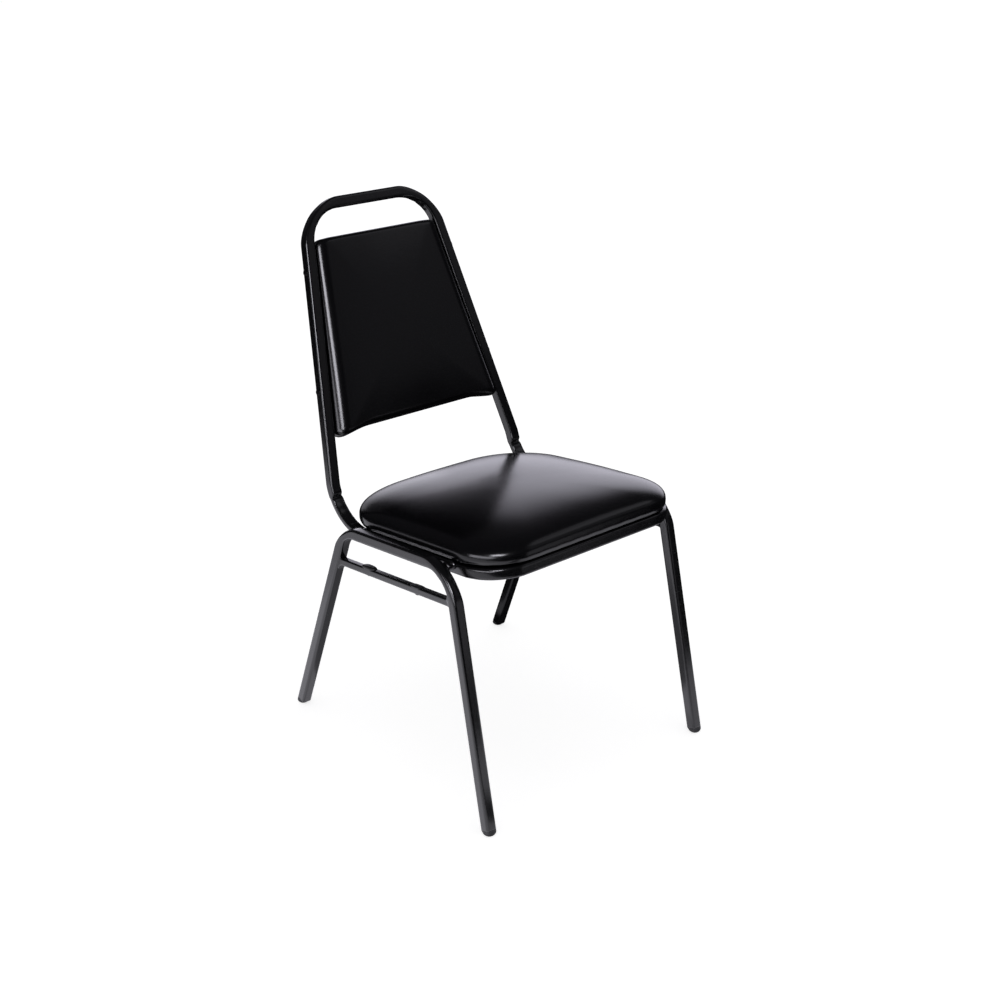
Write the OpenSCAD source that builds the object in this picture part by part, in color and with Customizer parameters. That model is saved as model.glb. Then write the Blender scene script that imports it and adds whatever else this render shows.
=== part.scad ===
// Stacking chair: square steel tube frame, padded seat and padded back.
// X is across the chair, -Y is the front, +Z is up, and the floor is z = 0.

/* [Tube] */
// Outside width of the square frame tube
tube = 20; // [18:1:24]
// Outside corner radius of the frame tube
tube_round = 4; // [2:0.5:5]
// Wall thickness of the steel tubes
wall = 1.5; // [1:0.1:2]

/* [Overall] */
// Depth of the whole chair, from the front glides to the back of the top bar
overall_depth = 659.5; // [640:0.5:700]
// Lean of the back from upright, in degrees
recline = 19.7; // [14:0.1:22]
// Rise of the seat towards the front, in degrees
seat_tilt = 6.8; // [3:0.1:8]

/* [Leg frames] */
// Distance between the centres of a front foot and a rear foot
foot_span = 558; // [540:1:580]
// Distance from the middle of the chair to the leg frames at the floor
foot_x = 245.5; // [242:0.5:252]
// Lean of each leg frame, with its top inward, in degrees
leg_lean = 0.8; // [0.5:0.1:1]
// Turn of each leg frame, with its rear inward, in degrees
leg_toe = 0.4; // [0:0.1:0.8]
// Slope of the front legs from upright, in degrees
front_slope = 12.8; // [10:0.1:15]
// Slope of the rear legs from upright, in degrees
rear_slope = 21.4; // [18:0.1:23]
// Height of the top rails' centre above the middle of the floor box
rail_h = 423; // [415:1:430]
// Centre line radius of the bends in the legs
leg_bend = 71; // [50:1:80]

/* [Stretchers] */
// Outside width of the square stretcher tube
stretcher = 13; // [12:0.5:16]
// Drop of the stretcher below the top rail, centre to centre
stretcher_drop = 61; // [50:1:80]
// Size of the weld fillets above and below a stretcher's ends
weld = 7; // [4:0.5:10]

/* [Seat frame] */
// Distance from the middle of the chair to the centre of a seat side run
seat_x = 208.5; // [204:0.5:210]
// Drop of the seat's side runs below the legs' top rails
seat_drop = 12.5; // [10:0.5:14]
// Length of the seat loop, from the fold to the front run, centre to centre
seat_run = 417; // [400:1:430]
// Centre line radius of the seat's front corners
seat_corner = 62; // [45:1:80]
// Centre line radius of the fold between seat and back
fold_bend = 86; // [70:1:90]
// Place of the front brace along the seat, from the fold
front_brace = 325; // [300:1:340]
// Place of the rear brace along the seat, from the fold
rear_brace = 82; // [78:1:110]

/* [Back frame] */
// Length of the back, from the fold to the top bar, centre to centre
back_len = 559; // [540:1:580]
// Inward lean of each upright within the back, in degrees
upright_lean = 8.7; // [7:0.1:9]
// Centre line radius of the top corners
top_corner = 80; // [60:1:95]

/* [Seat cushion] */
// Greatest half width of the seat cushion
seat_half_w = 221; // [218:0.5:223]
// Plan radius of the cushion's front corners
seat_front_round = 88; // [60:1:100]
// Plan radius of the cushion's rear corners
seat_rear_round = 130; // [120:1:140]
// Distance the cushion's front passes the centre of the front run
seat_over_front = 15; // [10:1:20]
// Distance the cushion's rear passes the fold
seat_over_rear = 17; // [5:1:20]
// Height of the crown of the cushion above the frame
seat_crown = 58; // [45:1:65]
// Height of the cushion's widest line above the frame
seat_bulge = 23; // [20:1:26]
// How far the cushion's foot is inside its widest line
seat_tuck = 15; // [10:1:18]

/* [Back pad] */
// Place of the pad's lower edge along the back
pad_low = 157; // [150:1:180]
// Place of the pad's upper edge along the back
pad_high = 500; // [480:1:510]
// Side gap between the pad and the uprights
pad_gap = 2; // [1.5:0.5:4]
// Radius of the pad's corners, seen from the front
pad_round = 14; // [8:1:25]
// How far the pad's crown stands in front of the back's centre plane
pad_front = 29; // [22:1:34]
// How far the pad's rear face is behind the back's centre plane
pad_rear = 9; // [6:1:10]

/* [Boards and covers] */
// Thickness of the plywood seat board and back board
ply = 12; // [10:1:15]
// Thickness of the vinyl
vinyl = 1.2; // [0.8:0.1:1.6]
// Width of the vinyl that is turned in under a board
turn_in = 28; // [20:1:35]
// Thickness of the dust cover cloth
dust = 0.6; // [0.4:0.1:1]

/* [Fasteners] */
// Diameter of the seat screws
seat_screw = 6; // [5:0.5:7]
// Diameter of the back screws
back_screw = 5; // [4:0.5:6]
// Diameter of the pins that join the leg frames to the seat frame
pin = 13; // [10:0.5:14]

/* [Hidden] */

// Facets of round parts; exact surfaces do not depend on it
$fn = 40;
frame_colour = [0.06, 0.06, 0.065];
vinyl_colour = [0.1, 0.1, 0.11];
plastic_colour = [0.03, 0.03, 0.03];
ply_colour = [0.72, 0.56, 0.36];
foam_colour = [0.85, 0.8, 0.6];
steel_colour = [0.7, 0.7, 0.72];
dust_colour = [0.09, 0.09, 0.09];

right = 1;
left = -1;
half = tube / 2;
bore = tube - 2 * wall;
// Bends are this much larger than straight runs and lap over them, so that they fuse
hair = 0.1;
lap = 0.6;
eps = 0.01;

// Glides
foot_reach = 9.6;
glide_neck = 9;
glide_ball = 14;
glide_flat = 7;
plug_len = 24;
plug_gap = 0.2;

// Reach of the leaning square tube behind its own centre
tube_reach = (half - tube_round) * (cos(recline) + sin(recline)) + tube_round;
front_foot_y = foot_reach - overall_depth / 2;
rear_foot_y = front_foot_y + foot_span;
fold_y = overall_depth / 2 - tube_reach - back_len * sin(recline);
fold_z = rail_h - seat_drop - fold_y * tan(seat_tilt);

// Flat path helpers on two-value points
function polar(r, a) = [r * cos(a), r * sin(a)];
function heading(a, b) = atan2(b.y - a.y, b.x - a.x);
function wrap(a) = a > 180 ? a - 360 : (a < -180 ? a + 360 : a);
function turn(p, i) = wrap(heading(p[i], p[i + 1]) - heading(p[i - 1], p[i]));
function inner(p, i) = i > 0 && i < len(p) - 1;
function setback(p, i, radii) = inner(p, i) ? radii[i - 1] * tan(abs(turn(p, i)) / 2) : 0;
// Where the line through p at angle a crosses the line through q at angle b
function cross_point(p, a, q, b) =
    p + polar(((q.x - p.x) * sin(b) - (q.y - p.y) * cos(b)) / sin(b - a), a);
// Points of a closed outline whose corners are rounded to the radii
function rounded(p, radii, steps) = [
    for (i = [0:len(p) - 1])
        let (
            before = p[(i + len(p) - 1) % len(p)],
            after = p[(i + 1) % len(p)],
            a = heading(before, p[i]),
            bend = wrap(heading(p[i], after) - a),
            centre = p[i] - polar(radii[i] * tan(bend / 2), a) + polar(radii[i], a + 90)
        )
        for (k = [0:steps]) centre + polar(radii[i], a - 90 + bend * k / steps)
];

// Places along the seat and the back, measured from the fold
fold_angle = 90 - recline + seat_tilt;
fold_setback = fold_bend * tan(fold_angle / 2);
splay_at = fold_setback + 6;
function upright_x(s) = seat_x - max(0, s - splay_at) * tan(upright_lean);
seat_screw_x = 130;
back_screw_at = [238, 446];

// Corners of the leg frame in its own plane
rail_start = cross_point([front_foot_y, 0], 90 - front_slope, [0, rail_h], -seat_tilt);
rail_end = cross_point([rear_foot_y, 0], 90 + rear_slope, [0, rail_h], -seat_tilt);

// Local frames. Back plane: y runs up the back, z points towards the sitter
module on_back() {
    translate([0, fold_y, fold_z]) rotate([90 - recline, 0, 0]) children();
}
// Seat plane: y runs rearward and is zero at the fold, z points up
module on_seat() {
    translate([0, fold_y, fold_z]) rotate([-seat_tilt, 0, 0]) children();
}
// Leg frame plane: x runs rearward, y runs up, z points away from the chair
module on_leg_frame(side) {
    mirror([side > 0 ? 0 : 1, 0, 0]) translate([foot_x, 0, 0]) rotate([0, 0, leg_toe])
        rotate([0, -leg_lean, 0]) rotate([90, 0, 90]) children();
}
// Stretcher line in the leg frame plane: x runs rearward along the stretcher
module on_stretcher(side) {
    on_leg_frame(side) translate([0, rail_h - stretcher_drop, 0]) rotate(-seat_tilt)
        children();
}
// A leg's line in the leg frame plane: x runs up the leg from the floor
module on_leg(side, foot_y, angle) {
    on_leg_frame(side) translate([foot_y, 0, 0]) rotate(angle) children();
}

module rounded_square(size, round) {
    flat = size - 2 * round;
    square([size, flat], center = true);
    square([flat, size], center = true);
    for (x = [-1, 1], y = [-1, 1]) translate([x, y] * flat / 2) circle(round, $fn = 16);
}

// Square tube section with rounded corners
module tube_section(size, round) {
    difference() {
        rounded_square(size, round);
        rounded_square(size - 2 * wall, round - wall);
    }
}

// Straight square bar or tube along +X from the origin
module along_x(length) {
    rotate([90, 0, 90]) linear_extrude(length) children();
}

// Solid bar bent about the Z axis; it laps over its neighbours by a hair at each end
module bar_bend(radius, angle, inset) {
    lap_angle = lap / radius * 180 / PI;
    rotate(-lap_angle) rotate_extrude(angle = angle + 2 * lap_angle) translate([radius, 0])
        rounded_square(tube - 2 * inset + hair, tube_round - inset);
}

// Solid bar along a flat path, bent to the radii at the inner points
module bar_path(p, radii, inset = 0) {
    for (i = [0:len(p) - 2]) {
        a = heading(p[i], p[i + 1]);
        start = p[i] + polar(setback(p, i, radii), a);
        run = norm(p[i + 1] - p[i]) - setback(p, i, radii) - setback(p, i + 1, radii);
        translate(start) rotate(a) along_x(run)
            rounded_square(tube - 2 * inset, tube_round - inset);
    }
    for (i = [1:len(p) - 2]) {
        a = heading(p[i - 1], p[i]);
        bend = turn(p, i);
        side = sign(bend);
        radius = radii[i - 1];
        centre = p[i] - polar(setback(p, i, radii), a) + polar(radius, a + 90 * side);
        translate(centre) rotate(side > 0 ? a - 90 : a + 90 + bend)
            bar_bend(radius, abs(bend), inset);
    }
}

// The bend that joins one upright to its seat side run
module fold(side, inset) {
    on_seat() translate([side * seat_x, -fold_setback, fold_bend]) rotate([0, 90, 0])
        bar_bend(fold_bend, fold_angle, inset);
}

// One tube that makes the seat's side runs, its front run and the whole back
module seat_back_loop(inset) {
    top_x = upright_x(back_len);
    splay_bend = 60;
    on_back() bar_path(
        [[seat_x, fold_setback], [seat_x, splay_at], [top_x, back_len],
         [-top_x, back_len], [-seat_x, splay_at], [-seat_x, fold_setback]],
        [splay_bend, top_corner, top_corner, splay_bend], inset);
    on_seat() bar_path(
        [[seat_x, -fold_setback], [seat_x, -seat_run],
         [-seat_x, -seat_run], [-seat_x, -fold_setback]],
        [seat_corner, seat_corner], inset);
    fold(right, inset);
    fold(left, inset);
}

module seat_back_frame() {
    color(frame_colour) difference() {
        seat_back_loop(0);
        seat_back_loop(wall);
        on_back() back_screw_places() translate([0, 0, -tube])
            cylinder(h = 2 * tube, d = back_screw + 0.6);
    }
}

// Cross tube between the side runs, under the seat board
module seat_brace(place) {
    color(frame_colour) on_seat() difference() {
        translate([half - seat_x, -place, 0]) along_x(2 * seat_x - tube)
            tube_section(tube, tube_round);
        for (x = [-1, 1]) translate([x * seat_screw_x, -place, 0])
            cylinder(h = 2 * tube, d = seat_screw + 0.6, center = true);
    }
}

module seat_brace_front() {
    seat_brace(front_brace);
}

module seat_brace_rear() {
    seat_brace(rear_brace);
}

// Line of a leg frame that starts and ends at a distance up from the floor
function leg_line(from) = [
    [front_foot_y, 0] + polar(from, 90 - front_slope),
    rail_start,
    rail_end,
    [rear_foot_y, 0] + polar(from, 90 + rear_slope)
];

// U shaped frame of two legs and the rail between them
module leg_frame(side) {
    bends = [leg_bend, leg_bend];
    color(frame_colour) on_leg_frame(side) difference() {
        bar_path(leg_line(glide_neck), bends);
        bar_path(leg_line(glide_neck - 1), bends, wall);
    }
}

module leg_frame_right() {
    leg_frame(right);
}

module leg_frame_left() {
    leg_frame(left);
}

// Solid shape of the two legs and the rail, used to trim what is welded to them
module leg_frame_outline(side) {
    on_leg(side, front_foot_y, 90 - front_slope) along_x(rail_h)
        rounded_square(tube, tube_round);
    on_leg(side, rear_foot_y, 90 + rear_slope) along_x(rail_h)
        rounded_square(tube, tube_round);
}

// Side view of a weld fillet in the corner between two edges at angles a and b
module fillet(corner, a, b) {
    root = corner - polar(1, b);
    polygon([root, root + polar(weld, a), corner + polar(weld, a), corner + polar(weld, b)]);
}

module stretcher_bar(side) {
    start = cross_point([front_foot_y, 0], 90 - front_slope,
                        [0, rail_h - stretcher_drop], -seat_tilt);
    end = cross_point([rear_foot_y, 0], 90 + rear_slope,
                      [0, rail_h - stretcher_drop], -seat_tilt);
    color(frame_colour) difference() {
        on_leg_frame(side) {
            translate(start) rotate(-seat_tilt) along_x(norm(end - start))
                tube_section(stretcher, 2.5);
            linear_extrude(stretcher - 5, center = true) {
                for (up = [1, -1]) {
                    edge = [0, rail_h - stretcher_drop + up * stretcher / 2 / cos(seat_tilt)];
                    front_face = [front_foot_y + half / cos(front_slope), 0];
                    rear_face = [rear_foot_y - half / cos(rear_slope), 0];
                    front = cross_point(front_face, 90 - front_slope, edge, -seat_tilt);
                    rear = cross_point(rear_face, 90 + rear_slope, edge, -seat_tilt);
                    fillet(front, -seat_tilt, (up > 0 ? 90 : 270) - front_slope);
                    fillet(rear, 180 - seat_tilt, (up > 0 ? 90 : 270) + rear_slope);
                }
            }
        }
        leg_frame_outline(side);
        bumper_places(side) cylinder(h = stretcher, d = bumper_stem + 0.3, center = true);
    }
}

module stretcher_right() {
    stretcher_bar(right);
}

module stretcher_left() {
    stretcher_bar(left);
}

// Short pins welded between a seat side run and a leg frame's rail
module frame_pins(side) {
    pin_y = [-194, 56];
    color(frame_colour) difference() {
        for (y = pin_y)
            translate([side * (seat_x + half), y, rail_h - y * tan(seat_tilt) - seat_drop / 2])
                rotate([0, 90 * side, 0]) cylinder(h = foot_x - seat_x - half, d = pin);
        on_leg_frame(side) translate([-overall_depth / 2, rail_h, 0])
            rotate(-seat_tilt) translate([0, 19.6, 0])
                along_x(overall_depth) rounded_square(tube, tube_round);
    }
}

module frame_pins_right() {
    frame_pins(right);
}

module frame_pins_left() {
    frame_pins(left);
}

// Domed plastic foot with a plug that fits inside the leg
module glide(side, foot_y, angle) {
    rise = sqrt(pow(glide_ball, 2) - pow(glide_flat, 2));
    foot = [side * (foot_x - foot_y * sin(leg_toe)), foot_y * cos(leg_toe)];
    color(plastic_colour) {
        intersection() {
            on_leg(side, foot_y, angle) translate([-tube, 0, 0]) along_x(tube + glide_neck)
                rounded_square(tube, tube_round);
            translate([foot.x, foot.y, rise]) sphere(glide_ball);
            translate([foot.x - tube, foot.y - tube, 0]) cube(2 * tube);
        }
        on_leg(side, foot_y, angle) translate([glide_neck - 1, 0, 0]) along_x(plug_len)
            rounded_square(bore - 2 * plug_gap, tube_round - wall);
    }
}

module glide_front_right() {
    glide(right, front_foot_y, 90 - front_slope);
}

module glide_front_left() {
    glide(left, front_foot_y, 90 - front_slope);
}

module glide_rear_right() {
    glide(right, rear_foot_y, 90 + rear_slope);
}

module glide_rear_left() {
    glide(left, rear_foot_y, 90 + rear_slope);
}

// Stacking bumpers: a thin pad under the stretcher with a stem up into it
bumper_at = [-131, 6];
bumper_stem = 5;
bumper_len = 14;
bumper_thick = 2;
clip_len = 20;

module bumper_places(side) {
    for (place = bumper_at)
        on_stretcher(side) translate([place, -stretcher / 2, 0]) rotate([90, 0, 0]) children();
}

module bumper_front(side) {
    color(plastic_colour) on_stretcher(side) translate([bumper_at[0], -stretcher / 2, 0])
        rotate([90, 0, 0]) {
            linear_extrude(bumper_thick) square([bumper_len, stretcher], center = true);
            translate([0, 0, -8]) cylinder(h = 8, d = bumper_stem);
        }
}

// The rear bumper wraps round the stretcher and stands on both sides of it
module bumper_rear(side) {
    color(plastic_colour) on_stretcher(side) translate([bumper_at[1], 0, 0]) {
        translate([-clip_len / 2, 0, 0]) along_x(clip_len) difference() {
            rounded_square(stretcher + 2 * bumper_thick, 3);
            rounded_square(stretcher, 2.5);
        }
        translate([0, -stretcher / 2, 0]) rotate([-90, 0, 0])
            cylinder(h = 8, d = bumper_stem);
    }
}

module bumper_front_right() {
    bumper_front(right);
}

module bumper_front_left() {
    bumper_front(left);
}

module bumper_rear_right() {
    bumper_rear(right);
}

module bumper_rear_left() {
    bumper_rear(left);
}

// Plan outline of the seat cushion, drawn inward by an inset
function seat_outline(inset) =
    let (
        x = seat_half_w - inset,
        front = -seat_run - seat_over_front + inset,
        rear = seat_over_rear - inset,
        fr = max(seat_front_round - inset, 20),
        rr = max(seat_rear_round - inset, 20)
    )
    rounded([[-x, front], [x, front], [x, rear], [-x, rear]], [fr, fr, rr, rr], 6);

// Closed body of the cushion from its foot to its crown, less a skin
module seat_body(skin) {
    above = seat_crown - seat_bulge;
    // Each level is a height share and an inset from the widest line
    levels = [[0, 0], [0.3, 4], [0.52, 11], [0.66, 22], [0.8, 44], [0.92, 82], [0.98, 118], [1, 150]];
    hull() {
        translate([0, 0, half + skin]) linear_extrude(eps)
            polygon(seat_outline(seat_tuck + skin));
        translate([0, 0, half + 9]) linear_extrude(eps)
            polygon(seat_outline(5 + skin));
        for (v = levels)
            translate([0, 0, half + seat_bulge + v[0] * above - skin * (v[0] > 0 ? 1 : 0)])
                linear_extrude(eps) polygon(seat_outline(v[1] + skin));
    }
}

// Seat board with holes for its tee nuts
module seat_board() {
    color(ply_colour) on_seat() difference() {
        translate([0, 0, half + vinyl]) linear_extrude(ply)
            polygon(seat_outline(seat_tuck + vinyl));
        seat_screw_places() cylinder(h = 4 * tube, d = seat_screw + 2, center = true);
    }
}

module seat_screw_places() {
    for (x = [-1, 1], place = [front_brace, rear_brace])
        translate([x * seat_screw_x, -place, 0]) children();
}

module seat_foam() {
    board_top = half + vinyl + ply + 2;
    color(foam_colour) on_seat() intersection() {
        seat_body(vinyl);
        translate([-seat_half_w, -seat_run - seat_half_w, board_top])
            cube([2 * seat_half_w, seat_run + 2 * seat_half_w, seat_crown]);
    }
}

// Vinyl skin over the foam, turned in under the board
module seat_cover() {
    color(vinyl_colour) on_seat() difference() {
        seat_body(0);
        seat_body(vinyl);
        translate([0, 0, half - 1]) linear_extrude(vinyl + 2)
            polygon(seat_outline(seat_tuck + turn_in));
    }
}

module seat_dust_cover() {
    color(dust_colour) on_seat() difference() {
        translate([0, 0, half]) linear_extrude(dust)
            polygon(seat_outline(seat_tuck + turn_in + 1));
        seat_screw_places() cylinder(h = 4 * tube, d = seat_screw + 1, center = true);
    }
}

// Screws that come up through the braces into the board
module seat_screws() {
    color(steel_colour) on_seat() seat_screw_places() {
        translate([0, 0, -half - 1.5]) cylinder(h = tube + ply, d = seat_screw);
        translate([0, 0, -half - 5]) cylinder(h = 3.5, d = 12);
    }
}

module seat_washers() {
    color(steel_colour) on_seat() seat_screw_places()
        translate([0, 0, -half - 1.5]) difference() {
            cylinder(h = 1.5, d = 16);
            translate([0, 0, -1]) cylinder(h = 4, d = seat_screw + 0.6);
        }
}

// Threaded nuts let into the top of the seat board
module seat_tee_nuts() {
    board_top = half + vinyl + ply;
    color(steel_colour) on_seat() seat_screw_places()
        translate([0, 0, board_top]) difference() {
            union() {
                cylinder(h = 1.5, d = 19);
                translate([0, 0, -9]) cylinder(h = 9, d = seat_screw + 2);
            }
            translate([0, 0, -10]) cylinder(h = 14, d = seat_screw);
        }
}

// Staples that hold the dust cover and the turned in vinyl to the board
module seat_staples() {
    crown = 10;
    wire = 0.8;
    line = seat_outline(seat_tuck + turn_in + 6);
    color(steel_colour) on_seat()
        for (i = [0:len(line) - 1]) {
            next = line[(i + 1) % len(line)];
            a = heading(line[i], next);
            span = norm(next - line[i]);
            count = max(1, floor(span / 42));
            for (k = [0:count - 1]) {
                at = line[i] + polar(span * (k + 0.5) / count, a);
                translate([at.x, at.y, half]) rotate(a) {
                    translate([-crown / 2, -wire / 2, -wire]) cube([crown, wire, wire]);
                    for (x = [-1, 1]) translate([x * (crown - wire) / 2 - wire / 2, -wire / 2, -eps])
                        cube([wire, wire, 8]);
                }
            }
        }
}

// Outline of the back pad on the back plane, drawn inward by an inset
function pad_side(s) = upright_x(s) - half / cos(upright_lean) - pad_gap;
function pad_outline(inset) =
    let (
        low = pad_low + inset,
        high = pad_high - inset,
        lx = pad_side(low) - inset,
        hx = pad_side(high) - inset,
        r = max(pad_round - inset, 4)
    )
    rounded([[-lx, low], [lx, low], [hx, high], [-hx, high]], [r, r, r, r], 6);

// Levels of the back pad as pairs of height and inset, from its widest line to its crown
pad_levels = [[18, 0], [24, 2.5], [27.5, 8], [29, 22]];
module pad_slice(z, inset) {
    translate([0, 0, z]) linear_extrude(eps) polygon(pad_outline(inset));
}

// Closed body of the back pad, less a skin
module pad_body(skin) {
    hull() {
        pad_slice(skin - pad_rear, 3 + skin);
        pad_slice(4 - pad_rear, 0.5 + skin);
        for (v = pad_levels) pad_slice(v[0] * pad_front / 29 - skin, v[1] + skin);
    }
}

// Plywood board inside the back pad, drilled for its screws
module back_board() {
    color(ply_colour) on_back() difference() {
        translate([0, 0, vinyl - pad_rear + 2]) linear_extrude(ply)
            polygon(pad_outline(3 + vinyl));
        back_screw_places() cylinder(h = 40, d = back_screw + 3);
    }
}

// Screw lines, pointing outward from the board's edge towards an upright
module back_screw_places() {
    for (side = [-1, 1], s = back_screw_at)
        translate([side * upright_x(s), s, screw_level]) rotate(side > 0 ? upright_lean : 180 - upright_lean)
            rotate([0, -90, 0]) children();
}
screw_level = 0;

module back_foam() {
    color(foam_colour) on_back() hull() {
        pad_slice(vinyl - pad_rear + 2 + ply, vinyl);
        for (v = pad_levels)
            if (v[0] > ply) pad_slice(v[0] * pad_front / 29 - vinyl, v[1] + vinyl);
    }
}

// Vinyl skin over the front and edges of the pad, turned in behind the board
module back_cover() {
    color(vinyl_colour) on_back() difference() {
        pad_body(0);
        pad_body(vinyl);
        translate([0, 0, -pad_rear - 1]) linear_extrude(vinyl + 3)
            polygon(pad_outline(turn_in));
        back_screw_places() cylinder(h = 40, d = back_screw + 1);
    }
}

// Vinyl covered panel that closes the rear of the pad
module back_rear_cover() {
    color(vinyl_colour) on_back() translate([0, 0, -pad_rear - 1]) linear_extrude(1)
        polygon(pad_outline(5));
}

module back_screws() {
    color(steel_colour) on_back() back_screw_places() {
        translate([0, 0, -half - 2.5]) cylinder(h = 2.5, d = 10);
        translate([0, 0, -half - 0.5]) cylinder(h = tube + 22, d = back_screw);
    }
}

module back_inserts() {
    color(steel_colour) on_back() back_screw_places()
        translate([0, 0, half + pad_gap + vinyl + 4]) difference() {
            cylinder(h = 16, d = back_screw + 3);
            translate([0, 0, -1]) cylinder(h = 18, d = back_screw);
        }
}

seat_back_frame();
seat_brace_front();
seat_brace_rear();
leg_frame_right();
leg_frame_left();
stretcher_right();
stretcher_left();
frame_pins_right();
frame_pins_left();
glide_front_right();
glide_front_left();
glide_rear_right();
glide_rear_left();
bumper_front_right();
bumper_front_left();
bumper_rear_right();
bumper_rear_left();
seat_board();
seat_foam();
seat_cover();
seat_dust_cover();
seat_screws();
seat_washers();
seat_tee_nuts();
seat_staples();
back_board();
back_foam();
back_cover();
back_rear_cover();
back_screws();
back_inserts();
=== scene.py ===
"""Stacking chair: a square steel tube frame with a padded seat and a padded back, on a studio floor."""

import math
import bmesh
import bpy
from mathutils import Matrix, Vector, noise

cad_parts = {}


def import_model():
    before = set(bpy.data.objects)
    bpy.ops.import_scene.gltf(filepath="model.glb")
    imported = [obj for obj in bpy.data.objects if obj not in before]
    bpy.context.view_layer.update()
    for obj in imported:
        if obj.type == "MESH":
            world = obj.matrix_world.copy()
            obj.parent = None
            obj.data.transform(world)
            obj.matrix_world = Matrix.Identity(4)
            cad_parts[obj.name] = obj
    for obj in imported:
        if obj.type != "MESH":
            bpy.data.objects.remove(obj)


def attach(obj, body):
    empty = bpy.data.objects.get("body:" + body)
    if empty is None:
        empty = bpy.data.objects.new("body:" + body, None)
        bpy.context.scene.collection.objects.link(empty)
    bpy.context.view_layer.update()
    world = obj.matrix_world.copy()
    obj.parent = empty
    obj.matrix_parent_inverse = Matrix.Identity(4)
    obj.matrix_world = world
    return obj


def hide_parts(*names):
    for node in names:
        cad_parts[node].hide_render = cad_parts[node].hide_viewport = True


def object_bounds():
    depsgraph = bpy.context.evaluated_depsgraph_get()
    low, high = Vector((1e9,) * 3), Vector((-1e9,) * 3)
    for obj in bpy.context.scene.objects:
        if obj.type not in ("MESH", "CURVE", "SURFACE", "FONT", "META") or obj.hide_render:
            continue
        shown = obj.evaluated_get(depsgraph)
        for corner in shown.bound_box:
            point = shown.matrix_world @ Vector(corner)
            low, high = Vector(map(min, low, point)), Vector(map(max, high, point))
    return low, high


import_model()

CAD_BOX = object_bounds()

# ---------------------------------------------------------------- the chair's driving dimensions, in metres

TUBE = 0.020  # outside width of the frame tube
TUBE_ROUND = 0.004
TILT = math.radians(6.8)  # rise of the seat towards the front
RECLINE = math.radians(19.7)  # lean of the back from upright
BACK_LEN = 0.559  # from the fold to the top bar
TOP_REACH = 0.0117  # how far the top bar's tube stands behind its centre line
FOLD_Y = CAD_BOX[1][1] - TOP_REACH - BACK_LEN * math.sin(RECLINE)
RAIL_Z = 0.423  # height of the top rails over the middle of the floor box
SEAT_DROP = 0.0125  # how far the seat's side runs lie below the top rails
FOLD_Z = RAIL_Z - SEAT_DROP - FOLD_Y * math.tan(TILT)
FOLD = Vector((0, FOLD_Y, FOLD_Z))
SEAT_X = 0.2085  # half width of the seat loop, to the tube's centre
SEAT_RUN = 0.417  # from the fold to the front run
SPLAY_AT = 0.0746  # where the uprights start to lean inward
SPLAY = math.radians(8.7)
FOOT_REACH = 0.0096  # how far a front glide stands before its foot point
FOOT_SPAN = 0.558  # between a front foot and a rear foot
FRONT_FOOT_Y = CAD_BOX[0][1] + FOOT_REACH
REAR_FOOT_Y = FRONT_FOOT_Y + FOOT_SPAN
FOOT_X = 0.2455  # from the middle of the chair to a leg frame at the floor
LEAN = math.radians(0.8)  # lean of a leg frame, its top inward
TOE = math.radians(0.4)  # turn of a leg frame, its rear inward
FRONT_SLOPE = math.radians(12.8)  # slope of the legs from upright
REAR_SLOPE = math.radians(21.4)
GLIDE_NECK = 0.009  # length of a glide's head along its leg
STRETCHER = 0.013
STRETCHER_DROP = 0.061
PIN_Y = (-0.194, 0.056)  # places of the pins along the top rail
PIN_R = 0.0065

SEAT_UP = Vector((0, math.sin(TILT), math.cos(TILT)))
SEAT_BACKWARD = Vector((0, math.cos(TILT), -math.sin(TILT)))
BACK_UP = Vector((0, math.sin(RECLINE), math.cos(RECLINE)))
BACK_FRONT = Vector((0, -math.cos(RECLINE), math.sin(RECLINE)))
ACROSS = Vector((1, 0, 0))


def on_seat(x, y, z=0.0):
    """A point of the seat's own plane: y runs rearward from the fold, z points up."""
    return FOLD + ACROSS * x + SEAT_BACKWARD * y + SEAT_UP * z


def on_back(x, y, z=0.0):
    """A point of the back's own plane: y runs up from the fold, z points to the sitter."""
    return FOLD + ACROSS * x + BACK_UP * y + BACK_FRONT * z


def on_leg_frame(side, y, z, out=0.0):
    """A point of a leg frame's plane: y runs rearward, z up, out points away from the chair."""
    v = Matrix.Rotation(-LEAN, 3, "Y") @ Vector((out, y, z))
    v = Matrix.Rotation(TOE, 3, "Z") @ v
    v.x = side * (v.x + FOOT_X)
    return v


def upright_x(s):
    """Half the distance between the uprights' centres, s up the back."""
    return SEAT_X - max(0.0, s - SPLAY_AT) * math.tan(SPLAY)


def smooth(t):
    t = min(1.0, max(0.0, t))
    return t * t * (3 - 2 * t)


def lerp(a, b, t):
    return a + (b - a) * t


# ---------------------------------------------------------------- meshes


def make(name, verts, faces, material):
    """A smooth-shaded piece with one material and its normals outward."""
    mesh = bpy.data.meshes.new(name)
    mesh.from_pydata([tuple(v) for v in verts], [], faces)
    mesh.validate()
    obj = bpy.data.objects.new(name, mesh)
    bpy.context.scene.collection.objects.link(obj)
    obj.data.materials.append(material)
    for p in mesh.polygons:
        p.use_smooth = True
    bm = bmesh.new()
    bm.from_mesh(mesh)
    bmesh.ops.recalc_face_normals(bm, faces=bm.faces)
    bm.to_mesh(mesh)
    bm.free()
    return obj


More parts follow.
